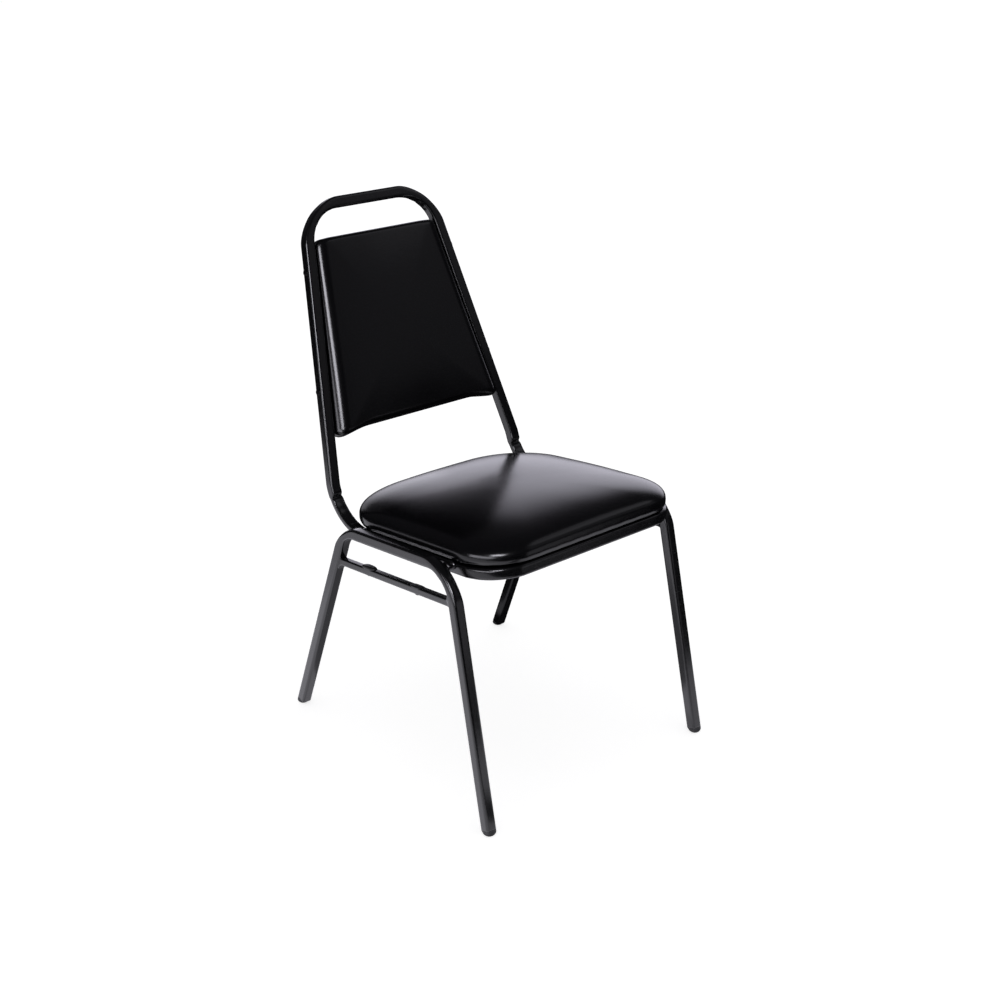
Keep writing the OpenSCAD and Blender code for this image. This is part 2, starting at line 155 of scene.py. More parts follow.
def rounded_section(size, radius, flat_steps=3, arc_steps=4):
    """Points of a rounded square, counter clockwise, starting in the middle of its +a side."""
    half, flat = size / 2, size / 2 - radius
    quarter = []
    for k in range(flat_steps):
        quarter.append((half, flat * k / flat_steps))
    for k in range(arc_steps + 1):
        t = math.pi / 2 * k / arc_steps
        quarter.append((flat + radius * math.cos(t), flat + radius * math.sin(t)))
    for k in range(flat_steps - 1, 0, -1):
        quarter.append((flat * k / flat_steps, half))
    points = []
    for q in range(4):
        c, s = round(math.cos(q * math.pi / 2)), round(math.sin(q * math.pi / 2))
        points += [(a * c - b * s, a * s + b * c) for a, b in quarter]
    return points


class Bend:
    """How one bend of a tube was made: its radius and how far its walls were crushed.

    The notch is a short deeper dent at a distance from the bend's far end (or its near end).
    """

    def __init__(self, radius, dent, flatten, bulge, edge, notch=0.0, notch_at=0.0, far=True, soft=1.0):
        self.radius, self.dent, self.flatten, self.bulge, self.soft = radius, dent, flatten, bulge, soft
        self.edge, self.notch, self.notch_at, self.far = edge, notch, notch_at, far

    def crush(self, done, left):
        """The share of the dent, and the notch's depth, part of the way along the bend."""
        end, other = (left, done) if self.far else (done, left)
        full = smooth((end - self.notch_at) / self.edge) * smooth(other / self.edge)
        near = math.exp(-(((end - self.notch_at - 0.002) / 0.0032) ** 2))
        return full, self.notch * near


def stations(corners, bends, step=0.02, fine=0.0025):
    """Places along a bent line: position, direction, and for a bend its inward side and crush."""
    out = []
    trims = [0.0]
    for i in range(1, len(corners) - 1):
        a = (corners[i] - corners[i - 1]).normalized()
        b = (corners[i + 1] - corners[i]).normalized()
        trims.append(bends[i - 1].radius * math.tan(a.angle(b) / 2))
    trims.append(0.0)
    for i in range(len(corners) - 1):
        a, b = corners[i], corners[i + 1]
        d = (b - a).normalized()
        start, end = a + d * trims[i], b - d * trims[i + 1]
        length = (end - start).length
        marks = {0.0, length}
        near = 0.009
        for k in range(1, 5):
            for m in (near * k / 4, length - near * k / 4):
                if 0 < m < length:
                    marks.add(m)
        n = max(1, int(length / step))
        marks |= {length * k / n for k in range(1, n)}
        for m in sorted(marks):
            out.append((start + d * m, d, None, 0.0, 0.0))
        if i < len(corners) - 2:
            c = (corners[i + 2] - corners[i + 1]).normalized()
            bend = bends[i]
            angle = d.angle(c)
            axis = d.cross(c).normalized()
            inward = axis.cross(d)
            centre = end + inward * bend.radius
            arc = bend.radius * angle
            n = max(6, int(arc / fine))
            for k in range(1, n):
                rot = Matrix.Rotation(angle * k / n, 3, axis)
                done = arc * k / n
                out.append((centre - (rot @ inward) * bend.radius, rot @ d, i, done, arc - done))
    return out


def crushed(point, inward, bend, done, left, wobble):
    """Moves a point of the tube's section for the crush of a bend; inward is a unit direction."""
    a, b = point
    q = a * inward[0] + b * inward[1]
    s = -a * inward[1] + b * inward[0]
    half = TUBE / 2
    full, notch = bend.crush(done, left)
    depth = (bend.dent + wobble) * full + notch
    across = s / half
    if q > 0:
        q -= depth * (q / half) * (1 + 0.2 * (1 - across * across))
    else:
        q += bend.flatten * full * (q / half) ** 2 * (1.15 - 0.3 * across * across)
    soften = (0.20 if q < 0 else 0.10) * bend.soft * full
    s *= 1 + bend.bulge / half * full * (1 - (q / half) ** 2 * 0.6)
    corner = (q / half) ** 2 * across**2
    q, s = q * (1 - soften * corner * 0.8), s * (1 - soften * corner)
    return q * inward[0] - s * inward[1], q * inward[1] + s * inward[0]


def sweep(name, corners, bends, first_normal, material, closed=False):
    """A tube along a bent line, with the marks that bending leaves on square tube."""
    section = rounded_section(TUBE, TUBE_ROUND)
    places = stations(corners, bends)
    normal = first_normal.normalized()
    last = places[0][1]
    verts, faces = [], []
    n = len(section)
    rings = []
    axes = {}
    for i in range(len(bends)):
        a = (corners[i + 1] - corners[i]).normalized()
        b = (corners[i + 2] - corners[i + 1]).normalized()
        axes[i] = a.cross(b).normalized()
    for pos, d, part, done, left in places:
        turn = last.rotation_difference(d)
        normal = (turn @ normal).normalized()
        normal = (normal - d * normal.dot(d)).normalized()
        last = d
        side = d.cross(normal)
        ring = []
        for a, b in section:
            if part is not None:
                inward = axes[part].cross(d)
                wobble = 0.0008 * noise.noise(pos * 110)
                place = (inward.dot(normal), inward.dot(side))
                a, b = crushed((a, b), place, bends[part], done, left, wobble)
            ring.append(pos + normal * a + side * b)
        rings.append(ring)
    if closed:
        # The last ring meets the first one, turned by whole quarters, so it is left out and joined.
        best = min(range(n), key=lambda k: sum((rings[-1][(i + k) % n] - rings[0][i]).length for i in range(n)))
        rings.pop()
    for ring in rings:
        verts += ring
    m = len(rings)
    for j in range(m - 1):
        for i in range(n):
            k = (i + 1) % n
            faces.append((j * n + i, j * n + k, (j + 1) * n + k, (j + 1) * n + i))
    if closed:
        for i in range(n):
            k = (i + 1) % n
            faces.append(((m - 1) * n + (i + best) % n, (m - 1) * n + (k + best) % n, k, i))
    else:
        faces.append(tuple(range(n)))
        faces.append(tuple((m - 1) * n + i for i in range(n)))
    return make(name, verts, faces, material)


# ---------------------------------------------------------------- materials


class Nodes:
    """A short way to write a material's nodes."""

    def __init__(self, name):
        self.material = bpy.data.materials.new(name)
        self.material.use_nodes = True
        self.tree = self.material.node_tree
        self.tree.nodes.clear()
        self.out = self.tree.nodes.new("ShaderNodeOutputMaterial")
        self.bsdf = self.add("BsdfPrincipled")
        self.link(self.bsdf.outputs[0], self.out.inputs[0])
        self.place = self.add("TexCoord").outputs["Object"]

    def add(self, kind, **values):
        node = self.tree.nodes.new("ShaderNode" + kind)
        for key, value in values.items():
            if hasattr(node, key):
                setattr(node, key, value)
            else:
                node.inputs[key.replace("_", " ")].default_value = value
        return node

    def link(self, a, b):
        self.tree.links.new(a, b)

    def set(self, **values):
        for key, value in values.items():
            self.bsdf.inputs[key.replace("_", " ")].default_value = value

    def noise(self, scale, detail=3.0, rough=0.5, where=None, stretch=None):
        node = self.add("TexNoise")
        node.inputs["Scale"].default_value = scale
        node.inputs["Detail"].default_value = detail
        node.inputs["Roughness"].default_value = rough
        source = where or self.place
        if stretch:
            mapping = self.add("Mapping")
            mapping.inputs["Scale"].default_value = stretch
            self.link(source, mapping.inputs["Vector"])
            source = mapping.outputs[0]
        self.link(source, node.inputs["Vector"])
        return node.outputs["Fac"]

    def cells(self, scale, feature="DISTANCE_TO_EDGE"):
        node = self.add("TexVoronoi")
        node.feature = feature
        node.inputs["Scale"].default_value = scale
        self.link(self.place, node.inputs["Vector"])
        return node.outputs["Distance"]

    def ramp(self, source, *stops):
        node = self.add("ValToRGB")
        elements = node.color_ramp.elements
        while len(elements) < len(stops):
            elements.new(0.5)
        for element, (at, colour) in zip(elements, stops):
            element.position = at
            value = colour if isinstance(colour, tuple) else (colour,) * 3
            element.color = (*value, 1.0)
        self.link(source, node.inputs["Fac"])
        return node.outputs["Color"]

    def math(self, operation, a, b):
        node = self.add("Math")
        node.operation = operation
        for socket, value in zip(node.inputs, (a, b)):
            if isinstance(value, (int, float)):
                socket.default_value = value
            else:
                self.link(value, socket)
        return node.outputs[0]

    def mix(self, factor, a, b):
        node = self.add("Mix")
        node.data_type = "RGBA"
        if isinstance(factor, (int, float)):
            node.inputs["Factor"].default_value = factor
        else:
            self.link(factor, node.inputs["Factor"])
        for socket, value in ((node.inputs[6], a), (node.inputs[7], b)):
            if isinstance(value, tuple):
                socket.default_value = (*value, 1.0)
            else:
                self.link(value, socket)
        return node.outputs[2]

    def bump(self, height, distance, strength=1.0, under=None):
        node = self.add("Bump")
        node.inputs["Strength"].default_value = strength
        node.inputs["Distance"].default_value = distance
        self.link(height, node.inputs["Height"])
        if under is not None:
            self.link(under, node.inputs["Normal"])
        return node.outputs["Normal"]

    def finish(self, colour=None, roughness=None, normal=None):
        if colour is not None:
            self.link(colour, self.bsdf.inputs["Base Color"])
        if roughness is not None:
            self.link(roughness, self.bsdf.inputs["Roughness"])
        if normal is not None:
            self.link(normal, self.bsdf.inputs["Normal"])
        return self.material


def powder_coat():
    n = Nodes("black_powder_coat")
    cloud = n.noise(9.0, 4.0, 0.6)
    peel = n.noise(900.0, 2.0, 0.4)
    scuff = n.noise(55.0, 8.0, 0.72, stretch=(1, 1, 3))
    worn = n.ramp(scuff, (0.60, 0.0), (0.72, 1.0))
    colour = n.mix(cloud, (0.0012, 0.0012, 0.0015), (0.0030, 0.0030, 0.0037))
    colour = n.mix(n.math("MULTIPLY", worn, 0.35), colour, (0.028, 0.028, 0.030))
    rough = n.math("ADD", n.ramp(cloud, (0.3, 0.17), (0.7, 0.25)), n.math("MULTIPLY", worn, 0.13))
    normal = n.bump(peel, 0.00012, 0.35, n.bump(n.noise(130.0, 2.0), 0.0006, 0.10))
    n.set(Specular_IOR_Level=0.62, Coat_Weight=0.15, Coat_Roughness=0.12)
    return n.finish(colour, rough, normal)


def vinyl(name, dark=(0.0010, 0.0010, 0.0014), light=(0.0020, 0.0019, 0.0026)):
    """Black upholstery vinyl: a fine pebble grain, its polish varying softly at random."""
    n = Nodes(name)
    cloud = n.noise(7.0, 3.0, 0.55)
    pebble = n.cells(620.0, "SMOOTH_F1")
    crease = n.cells(260.0)
    fine = n.noise(1500.0, 2.0)
    colour = n.mix(cloud, dark, light)
    rough = n.math("ADD", n.ramp(cloud, (0.25, 0.15), (0.75, 0.20)), n.math("MULTIPLY", fine, 0.05))
    low = n.bump(crease, 0.00020, 0.16)
    normal = n.bump(pebble, 0.00014, 0.24, low)
    n.set(Specular_IOR_Level=0.56)
    return n.finish(colour, rough, normal)


def moulded_plastic(name, base=(0.010, 0.010, 0.0115), rough_low=0.38, rough_high=0.5):
    n = Nodes(name)
    cloud = n.noise(40.0, 4.0)
    grain = n.noise(1400.0, 2.0)
    scratch = n.noise(120.0, 6.0, 0.7, stretch=(1, 1, 0.2))
    colour = n.mix(n.ramp(scratch, (0.58, 0.0), (0.75, 1.0)), base, tuple(c * 3.2 for c in base))
    rough = n.ramp(cloud, (0.3, rough_low), (0.7, rough_high))
    n.set(Specular_IOR_Level=0.5)
    return n.finish(colour, rough, n.bump(grain, 0.00008, 0.3))


def plywood():
    n = Nodes("sanded_plywood")
    grain = n.noise(70.0, 6.0, 0.65, stretch=(0.25, 6, 6))
    ply = n.add("TexWave")
    ply.inputs["Scale"].default_value = 140.0
    ply.bands_direction = "Z"
    n.link(n.place, ply.inputs["Vector"])
    colour = n.ramp(grain, (0.3, (0.42, 0.27, 0.14)), (0.7, (0.66, 0.47, 0.27)))
    colour = n.mix(n.math("MULTIPLY", ply.outputs["Fac"], 0.3), colour, (0.30, 0.18, 0.09))
    return n.finish(colour, n.ramp(grain, (0.3, 0.6), (0.7, 0.75)), n.bump(grain, 0.0003, 0.4))


def dust_cloth():
    """Spunbonded black cloth: short fibres pressed together, with a grid of tiny weld points."""
    n = Nodes("spunbond_dust_cloth")
    fibre = n.noise(420.0, 8.0, 0.75, stretch=(1, 4, 1))
    other = n.noise(420.0, 8.0, 0.75, stretch=(4, 1, 1))
    both = n.math("MULTIPLY", fibre, other)
    dots = n.cells(650.0, "F1")
    colour = n.ramp(both, (0.12, (0.006, 0.006, 0.007)), (0.42, (0.030, 0.030, 0.033)))
    n.set(Roughness=0.85, Specular_IOR_Level=0.3, Sheen_Weight=0.15)
    return n.finish(colour, None, n.bump(dots, 0.0003, 0.4, n.bump(both, 0.0003, 0.6)))


def zinc():
    n = Nodes("zinc_plated_steel")
    cloud = n.noise(300.0, 5.0, 0.65)
    brushed = n.noise(220.0, 3.0, 0.5, stretch=(1, 14, 1))
    colour = n.ramp(cloud, (0.3, (0.40, 0.40, 0.42)), (0.7, (0.60, 0.60, 0.60)))
    n.set(Metallic=1.0)
    return n.finish(colour, n.ramp(cloud, (0.3, 0.24), (0.7, 0.42)), n.bump(brushed, 0.0001, 0.3))


PAINT = powder_coat()
VINYL_SEAT = vinyl("seat_vinyl")
# The back pad's vinyl is the seat's vinyl made darker: painted shade for the dimmer light on the back pad and its rear
# cover.
VINYL_BACK_SHADED = vinyl("back_vinyl_painted_shade", (0.0006, 0.0006, 0.0009), (0.0014, 0.0013, 0.0019))
GLIDE = moulded_plastic("glide_plastic", (0.014, 0.014, 0.016))
BUMPER = moulded_plastic("bumper_plastic")
PLY = plywood()
CLOTH = dust_cloth()
ZINC = zinc()
SCREW = powder_coat()
SCREW.name = "black_screw_coat"


def settle(obj, slot, *nodes):
    """A piece rides on the one body and stands for its CAD nodes, which it hides; its slot is not used."""
    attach(obj, "root")
    if nodes:
        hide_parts(*nodes)
    return obj


# ---------------------------------------------------------------- frame

SIDES = (("right", 1), ("left", -1))


def frame_loop():
    """The one tube that makes the seat's sides, its front run and the whole back."""
    corner = Bend(0.062, 0.0034, 0.0008, 0.0008, 0.020, 0.0012, 0.006, False)
    other_corner = Bend(0.062, 0.0034, 0.0008, 0.0008, 0.020, 0.0012, 0.006)
    fold = Bend(0.086, 0.0046, 0.0006, 0.0010, 0.006, 0.0062, 0.013)
    other_fold = Bend(0.086, 0.0046, 0.0006, 0.0010, 0.006, 0.0062, 0.013, False)
    splay = Bend(0.060, 0.0, 0.0, 0.0, 0.005, soft=0.0)
    top = Bend(0.080, 0.0008, 0.0036, 0.0005, 0.048)
    top_x = upright_x(BACK_LEN)
    half = [
        on_seat(SEAT_X, -SEAT_RUN),
        on_seat(SEAT_X, 0),
        on_back(SEAT_X, SPLAY_AT),
        on_back(top_x, BACK_LEN),
    ]
    other = [Vector((-p.x, p.y, p.z)) for p in reversed(half)]
    start = on_seat(0, -SEAT_RUN)
    corners = [start, *half, *other, start]
    bends = [corner, fold, splay, top, top, splay, other_fold, other_corner]
    return sweep("frame_loop", corners, bends, SEAT_UP, PAINT, closed=True)


settle(frame_loop(), "frame_paint", "seat_back_frame")


def cross(p, a, q, b):
    """Where the flat line through p at angle a meets the one through q at angle b."""
    d = ((q[0] - p[0]) * math.sin(b) - (q[1] - p[1]) * math.cos(b)) / math.sin(b - a)
    return p[0] + d * math.cos(a), p[1] + d * math.sin(a)


FRONT_LEG = math.pi / 2 - FRONT_SLOPE
REAR_LEG = math.pi / 2 + REAR_SLOPE
RAIL_START = cross((FRONT_FOOT_Y, 0), FRONT_LEG, (0, RAIL_Z), -TILT)
RAIL_END = cross((REAR_FOOT_Y, 0), REAR_LEG, (0, RAIL_Z), -TILT)


def leg_loop(name, side):
    front = Bend(0.071, 0.0040, 0.0006, 0.0, 0.036, 0.0, 0.0, False, 1.2)
    rear = Bend(0.071, 0.0040, 0.0006, 0.0, 0.036, 0.0, 0.0, True, 1.2)
    ends = [
        (FRONT_FOOT_Y + GLIDE_NECK * math.cos(FRONT_LEG), GLIDE_NECK * math.sin(FRONT_LEG)),
        RAIL_START,
        RAIL_END,
        (REAR_FOOT_Y + GLIDE_NECK * math.cos(REAR_LEG), GLIDE_NECK * math.sin(REAR_LEG)),
    ]
    corners = [on_leg_frame(side, y, z) for y, z in ends]
    outward = on_leg_frame(side, 0, 0, 1) - on_leg_frame(side, 0, 0, 0)
    return sweep(f"leg_loop_{name}", corners, [front, rear], outward, PAINT)


for name, side in SIDES:
    settle(leg_loop(name, side), "frame_paint", f"leg_frame_{name}")


def stretcher_bar(name, side):
    """A small square tube whose ends flare into the welds that hold it to the legs."""
    line = (0, RAIL_Z - STRETCHER_DROP)
    start = cross((FRONT_FOOT_Y, 0), FRONT_LEG, line, -TILT)
    end = cross((REAR_FOOT_Y, 0), REAR_LEG, line, -TILT)
    start = Vector((start[0] + TUBE / 2 / math.cos(FRONT_SLOPE) - 0.003, start[1]))
    end = Vector((end[0] - TUBE / 2 / math.cos(REAR_SLOPE) + 0.003, end[1]))
    length = (end - start).length
    along = (end - start) / length
    up = Vector((-along.y, along.x))
    section = rounded_section(STRETCHER, 0.0025)
    flare = 0.009
    steps = [i * 0.0012 for i in range(11)]
    marks = steps + [length * k / 12 for k in range(1, 12)] + [length - s for s in reversed(steps)]
    verts, faces = [], []
    n = len(section)
    for m in marks:
        near = min(m, length - m) - 0.003
        rise = 0.0
        if near < flare:
            t = 1 - max(0.0, near) / flare
            rise = (1 - math.sqrt(max(0.0, 1 - t * t))) * 0.008
        slope = FRONT_SLOPE if m < length / 2 else -REAR_SLOPE
        skew = math.tan(slope + TILT) * smooth(1 - near / 0.02)
        for a, b in section:
            grow = 1 + rise / (STRETCHER / 2)
            bead = 1 + 0.05 * noise.noise(Vector((m * 400, a * 300, b * 300))) * smooth(1 - near / 0.006)
            h = b * grow * bead
            c = start + along * (m + h * skew) + up * h
            verts.append(on_leg_frame(side, c.x, c.y, a * (1 + 0.25 * rise / 0.008)))
    for j in range(len(marks) - 1):
        for i in range(n):
            k = (i + 1) % n
            faces.append((j * n + i, j * n + k, (j + 1) * n + k, (j + 1) * n + i))
    faces += [tuple(range(n)), tuple((len(marks) - 1) * n + i for i in range(n))]
    return make(f"stretcher_bar_{name}", verts, faces, PAINT)


for name, side in SIDES:
    settle(stretcher_bar(name, side), "frame_paint", f"stretcher_{name}")


def pin_welds(name, side):
    """Two short pins between the seat frame and a leg frame, each with a weld bead at both ends."""
    verts, faces = [], []
    x0 = SEAT_X + TUBE / 2 - 0.0015
    for y in PIN_Y:
        x1 = abs(on_leg_frame(side, y, RAIL_Z).x) - TUBE / 2 + 0.0015
        z = RAIL_Z - y * math.tan(TILT) - 0.00625
        rings, around = 15, 36
        base = len(verts)
        for j in range(rings):
            t = j / (rings - 1)
            x = lerp(x0, x1, t)
            edge = min(x - x0, x1 - x)
            bead = max(0.0, 1 - abs(edge - 0.0025) / 0.0028)
            for i in range(around):
                a = 2 * math.pi * i / around
                ripple = 0.25 * noise.noise(Vector((x * 500, 2.2 * math.cos(a), 2.2 * math.sin(a) + y * 50)))
                r = PIN_R + 0.0019 * math.sqrt(bead) * (1 + ripple)
                verts.append((side * x, y + r * 1.15 * math.cos(a), z + r * math.sin(a)))
        for j in range(rings - 1):
            for i in range(around):
                k = (i + 1) % around
                at = base + j * around
                faces.append((at + i, at + k, at + around + k, at + around + i))
        faces.append(tuple(base + i for i in range(around)))
        faces.append(tuple(base + (rings - 1) * around + i for i in range(around)))
    return make(f"pin_welds_{name}", verts, faces, PAINT)


for name, side in SIDES:
    settle(pin_welds(name, side), "frame_paint", f"frame_pins_{name}")


def glide_foot(name, side, foot_y, angle):
    """A domed plastic foot: a square head with soft edges that runs down to a small flat."""
    section = rounded_section(TUBE, TUBE_ROUND)
    foot = on_leg_frame(side, foot_y, 0)
    up = on_leg_frame(side, foot_y + math.cos(angle), math.sin(angle)) - foot
    outward = on_leg_frame(side, foot_y, 0, 1) - foot
    forward = up.cross(outward).normalized()
    ball, flat = 0.014, 0.007
    rise = math.sqrt(ball * ball - flat * flat)
    centre = foot + Vector((0, 0, rise))
    verts, faces = [], []
    n = len(section)
    levels = [(GLIDE_NECK, 0.93), (GLIDE_NECK, 0.965), (GLIDE_NECK - 0.0006, 1.0)]
    down = 12
    for along, share in levels:
        for a, b in section:
            verts.append(foot + up * along + outward * a * share + forward * b * share)
    for j in range(1, down + 1):
        t = j / down
        for a, b in section:
            top = foot + up * (GLIDE_NECK - 0.0006) + outward * a + forward * b
            low = Vector((foot.x, foot.y, 0)) + (Vector((top.x - foot.x, top.y - foot.y, 0))).normalized() * flat * 0.98
            p = top.lerp(low, t)
            # Points outside the ball are pulled onto it, which rounds the head's lower part.
            flat_dir = Vector((p.x - foot.x, p.y - foot.y, 0))
            height = lerp(top.z, 0, t)
            reach = math.sqrt(max(0.0, ball * ball - (height - rise) ** 2))
            limit = min(reach, lerp((Vector((top.x - foot.x, top.y - foot.y, 0))).length, reach, smooth(t)))
            q = foot + flat_dir.normalized() * limit
            verts.append(Vector((q.x, q.y, height)))
    rows = len(levels) + down
    for j in range(rows - 1):
        for i in range(n):
            k = (i + 1) % n
            faces.append((j * n + i, j * n + k, (j + 1) * n + k, (j + 1) * n + i))
    faces += [tuple(range(n)), tuple((rows - 1) * n + i for i in range(n))]
    return make(f"glide_foot_{name}", verts, faces, GLIDE)


for name, side in SIDES:
    settle(glide_foot(f"front_{name}", side, FRONT_FOOT_Y, FRONT_LEG), "glide_plastic", f"glide_front_{name}")
    settle(glide_foot(f"rear_{name}", side, REAR_FOOT_Y, REAR_LEG), "glide_plastic", f"glide_rear_{name}")


def bumper(name, side, x, rise):
    """A soft plastic bumper through the stretcher: a low saddle on top and a button below."""
    verts, faces = [], []

    def place(a, b, c):
        """a runs along the stretcher, b away from the chair and c up."""
        along, up = Vector((math.cos(TILT), -math.sin(TILT))), Vector((math.sin(TILT), math.cos(TILT)))
        base = Vector((0, RAIL_Z - STRETCHER_DROP)) + Vector((1, -math.tan(TILT))) * x
        p = base + along * a + up * c
        return on_leg_frame(side, p.x, p.y, b)

    def dome(half_long, half_wide, start, height, skirt):
        base, around, rings = len(verts), 40, 10
        for j in range(rings + 1):
            t = j / rings * math.pi / 2
            for i in range(around):
                u = 2 * math.pi * i / around
                c, d = math.cos(u), math.sin(u)
                a = half_long * math.copysign(abs(c) ** 0.75, c) * math.cos(t) ** 0.7
                b = half_wide * math.copysign(abs(d) ** 0.6, d) * math.cos(t) ** 0.4
                verts.append(place(a, b, start + height * math.sin(t)))
        for i in range(around):
            u = 2 * math.pi * i / around
            c, d = math.cos(u), math.sin(u)
            a = half_long * math.copysign(abs(c) ** 0.75, c)
            b = half_wide * math.copysign(abs(d) ** 0.6, d)
            verts.append(place(a, b, start - skirt))
        for j in range(rings):
            for i in range(around):
                k = (i + 1) % around
                at = base + j * around
                faces.append((at + i, at + k, at + around + k, at + around + i))
        low = base + (rings + 1) * around
        for i in range(around):
            k = (i + 1) % around
            faces.append((base + i, base + k, low + k, low + i))
        faces.append(tuple(low + i for i in range(around)))
        faces.append(tuple(base + rings * around + i for i in range(around)))

    dome(0.0185, STRETCHER / 2 + 0.0002, STRETCHER / 2 - 0.0004, rise, 0.002)
    dome(0.0052, 0.0048, -STRETCHER / 2 + 0.0005, -0.0026, -0.002)
    return make(f"bumper_{name}", verts, faces, BUMPER)


for name, side in SIDES:
    settle(bumper(f"front_{name}", side, -0.131, 0.0014), "bumper_plastic", f"bumper_front_{name}")
    settle(bumper(f"rear_{name}", side, 0.006, 0.0042), "bumper_plastic", f"bumper_rear_{name}")


# ---------------------------------------------------------------- seat cushion


def rounded_outline(corners, radii, count):
    """Evenly spaced points on a closed outline with rounded corners, with outward directions."""
    pieces = []
    m = len(corners)
    for i in range(m):
        p, before, after = corners[i], corners[i - 1], corners[(i + 1) % m]
        a, b = (p - before).normalized(), (after - p).normalized()
        angle = a.angle_signed(b) * -1
        trim = radii[i] * math.tan(abs(angle) / 2)
        normal = Vector((-a.y, a.x)) * (1 if angle > 0 else -1)
        centre = p - a * trim + normal * radii[i]
        for k in range(25):
            t = angle * k / 24
            v = centre - p + a * trim
            c, s = math.cos(t), math.sin(t)
            arm = Vector((-v.x * c + v.y * s, -v.x * s - v.y * c))
            pieces.append(centre + arm)
    total, lengths = 0.0, []
    for i in range(len(pieces)):
        lengths.append(total)
        total += (pieces[(i + 1) % len(pieces)] - pieces[i]).length
    out = []
    j = 0
    for k in range(count):
        want = total * k / count
        while j + 1 < len(lengths) and lengths[j + 1] <= want:
            j += 1
        a, b = pieces[j], pieces[(j + 1) % len(pieces)]
        span = (b - a).length or 1.0
        out.append(a.lerp(b, min(1.0, (want - lengths[j]) / span)))
    return out


def toward_ellipse(points, middle, half_x, half_y, share):
    """The outline scaled about its middle; the smaller it gets, the closer it is to an ellipse."""
    out = []
    for p in points:
        v = p - middle
        c, s = v.x / v.length, v.y / v.length
        round_reach = 1 / math.sqrt((c / half_x) ** 2 + (s / half_y) ** 2)
        reach = lerp(round_reach, v.length, share**1.6)
        out.append(middle + v.normalized() * reach * share)
    return out


SEAT_HALF = 0.2205
SEAT_FRONT = -SEAT_RUN - 0.0152
SEAT_REAR = 0.0175
CUSHION_Z = TUBE / 2  # the cushion's foot stands on the frame
BULGE_Z = 0.0135  # level where the crown starts, over the foot
CROWN_Z = 0.0598
CROWN_POWER = 2.75  # the crown's curve: 2 is an ellipse, more is flatter with fuller shoulders


def seat_plan(inset):
    """The cushion's outline on the seat plane, drawn in by an inset."""
    x, front, rear = SEAT_HALF - inset, SEAT_FRONT + inset, SEAT_REAR - inset
    fr, rr = max(0.0887 - inset, 0.02), max(0.1307 - inset, 0.02)
    corners = [Vector((-x, front)), Vector((x, front)), Vector((x, rear)), Vector((-x, rear))]
    return rounded_outline(corners, [fr, fr, rr, rr], 220)


def seat_cushion():
    """A crowned cushion whose vinyl rolls over the foam, tucks in and grips the board's edge."""
    foot = [
        (0.0100, 0.0500),
        (0.0018, 0.0430),
        (0.0006, 0.0422),
        (-0.0004, 0.0300),
        (-0.0009, 0.0215),
        (-0.0009, 0.0150),
        (-0.0002, 0.0124),
        (0.0018, 0.0106),
        (0.0036, 0.0082),
        (0.0048, 0.0050),
        (0.0055, 0.0028),
        (0.0062, 0.0016),
        (0.0071, 0.0015),
        (0.0080, 0.0013),
        (0.0090, 0.0006),
    ]
    rings = []
    for z, inset in foot:
        rings.append([(p, z) for p in seat_plan(inset)])
    widest = seat_plan(0.0)
    middle = Vector((0, (SEAT_FRONT + SEAT_REAR) / 2))
    steps = 30
    for j in range(steps - 1):
        angle = j / (steps - 1) * math.pi / 2
        share = math.cos(angle) ** (2 / CROWN_POWER)
        height = math.sin(angle) ** (2 / CROWN_POWER)
        level = BULGE_Z + (CROWN_Z - BULGE_Z) * height
        inner = toward_ellipse(widest, middle, SEAT_HALF, (SEAT_REAR - SEAT_FRONT) / 2, share)
        rings.append([(p, level) for p in inner])
    verts, faces = [], []
    n = len(widest)
    for ring in rings:
        for i, (p, z) in enumerate(ring):
            low = smooth(z / 0.004) * smooth(1 - (z - 0.006) / 0.010)
            drift = 2.0 * noise.noise(Vector((p.x * 9, p.y * 9, 0)))
            pucker = 0.0007 * low * math.sin(i * 2 * math.pi * 46 / n + drift)
            swell = 0.0009 * noise.noise(Vector((p.x * 7, p.y * 7, z * 20)))
            out = (p - middle).normalized()
            q = p + out * (pucker * 0.45)
            verts.append(on_seat(q.x, q.y, CUSHION_Z + z + swell * smooth((z - 0.01) / 0.02)))
    verts.append(on_seat(middle.x, middle.y, CUSHION_Z + CROWN_Z))
    verts.append(on_seat(middle.x, middle.y, CUSHION_Z + 0.0100))
    m = len(rings)
    for j in range(m - 1):
        for i in range(n):
            k = (i + 1) % n
            faces.append((j * n + i, j * n + k, (j + 1) * n + k, (j + 1) * n + i))
    for i in range(n):
        k = (i + 1) % n
        faces.append(((m - 1) * n + i, (m - 1) * n + k, m * n))
        faces.append((i, k, m * n + 1))
    return make("seat_cushion", verts, faces, VINYL_SEAT)


cushion = settle(seat_cushion(), "vinyl", "seat_cover", "seat_foam")

# ---------------------------------------------------------------- back pad

PAD_LOW, PAD_HIGH = 0.1518, 0.4990
PAD_GAP = 0.002  # between the pad and an upright
PAD_FRONT, PAD_REAR = 0.029, 0.009  # how far the pad stands before and behind the back's plane
PAD_TAPER = 0.40  # the pad is this much thinner at its top
PAD_ROLL = 0.024  # how far in the cover rolls over the pad's sides
PAD_CORNER = 0.012
PAD_PULL = 0.0085  # how far the middle of the lower edge is drawn up


def pad_half(s):
    """Half the pad's width, s up the back."""
    return upright_x(s) - TUBE / 2 / math.cos(SPLAY) - PAD_GAP


